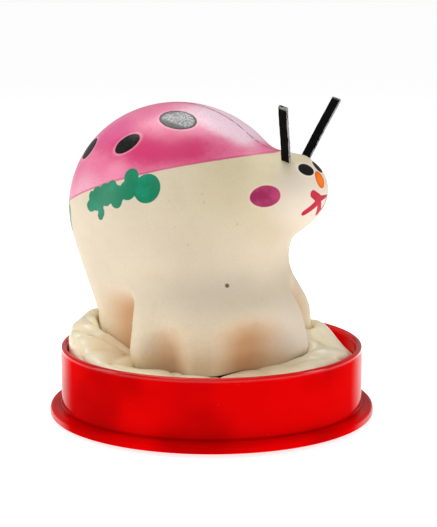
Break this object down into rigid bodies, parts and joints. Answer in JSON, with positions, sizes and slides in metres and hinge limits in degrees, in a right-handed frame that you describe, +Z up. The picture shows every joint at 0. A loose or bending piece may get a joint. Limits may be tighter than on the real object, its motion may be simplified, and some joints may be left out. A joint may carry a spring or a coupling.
{
  "type": "wind-up toy",
  "caption": "Latex ladybird figure gathered into a round red plastic dish, with a hidden clockwork motor, winding key and wheels.",
  "frame": {"origin": "centre of the flat underside of the dish", "axes": "+X forward, the way the figure's nose points; +Y to the figure's left, where the key is; +Z up"},
  "size_m": [0.08, 0.091, 0.0787],
  "materials": {
    "red_plastic": "glossy moulded red polystyrene",
    "latex_figure": "matt cream latex, airbrushed pink, green and magenta, with black spots",
    "latex_skirt": "glossy unpainted cream latex, gathered into folds",
    "black_strip": "black rubbery strip",
    "white_plastic": "plain moulded plastic",
    "tinplate": "bright tinplate",
    "steel": "turned and polished steel",
    "spring_steel": "blued spring steel",
    "brass": "stamped brass",
    "key_plate": "nickel-plated steel",
    "wheel_red": "moulded plastic",
    "tyre_black": "black rubber"
  },
  "bodies": {
    "base": {"base_ring": "red_plastic", "base_plate": "tinplate", "plate_screws": "steel", "hem_hoop": "white_plastic", "latex_skirt": "latex_skirt", "figure_skin": "latex_figure", "antenna_left": "black_strip", "antenna_right": "black_strip", "frame_plate_left": "tinplate", "frame_plate_right": "tinplate", "frame_pillars": "steel", "frame_rivets": "steel", "mainspring": "spring_steel", "caster_bracket": "tinplate"},
    "great": {"great_wheel": "brass", "click_pin": "steel", "click_spring": "spring_steel"},
    "click": {"ratchet_click": "steel"},
    "winding": {"winding_arbor": "steel", "ratchet_wheel": "steel", "winding_key": "key_plate"},
    "second": {"second_arbor": "steel", "second_pinion": "brass", "second_wheel": "brass"},
    "drive": {"drive_axle": "steel", "axle_pinion": "brass", "drive_wheel_left": "wheel_red", "drive_wheel_right": "wheel_red", "tyre_left": "tyre_black", "tyre_right": "tyre_black"},
    "caster": {"caster_fork": "steel", "caster_pivot": "steel", "caster_axle": "steel"},
    "caster_roll": {"caster_wheel": "white_plastic"}
  },
  "joints": [
    {"name": "train_run", "type": "hinge", "parent": "base", "child": "great", "pos_m": [-0.00723, 0, 0.01151], "axis": [0, 1, 0], "continuous": true, "deforming": ["mainspring"]},
    {"name": "key_wind", "type": "hinge", "parent": "great", "child": "winding", "pos_m": [-0.00723, 0, 0.01151], "axis": [0, -1, 0], "range_deg": [0, 1800], "deforming": ["mainspring"]},
    {"name": "click_lift", "type": "hinge", "parent": "great", "child": "click", "pos_m": [-0.00188, 0, 0.01633], "axis": [0, 1, 0], "range_deg": [0, 11], "stiffness_Nm_per_rad": 0.0004, "springref_deg": -5.73, "deforming": ["click_spring"]},
    {"name": "second_spin", "type": "hinge", "parent": "base", "child": "second", "pos_m": [0.004, 0, 0.014], "axis": [0, 1, 0], "continuous": true},
    {"name": "drive_spin", "type": "hinge", "parent": "base", "child": "drive", "pos_m": [0.01, 0, 0.006], "axis": [0, 1, 0], "continuous": true},
    {"name": "caster_swivel", "type": "hinge", "parent": "base", "child": "caster", "pos_m": [-0.0215, 0, 0.006], "axis": [0, 0, 1], "continuous": true},
    {"name": "caster_spin", "type": "hinge", "parent": "caster", "child": "caster_roll", "pos_m": [-0.0227, 0, 0.002], "axis": [0, 1, 0], "continuous": true}
  ],
  "couplings": [
    {"joint": "second_spin", "follows": "drive_spin", "ratio": -0.25},
    {"joint": "train_run", "follows": "drive_spin", "ratio": 0.069444}
  ]
}
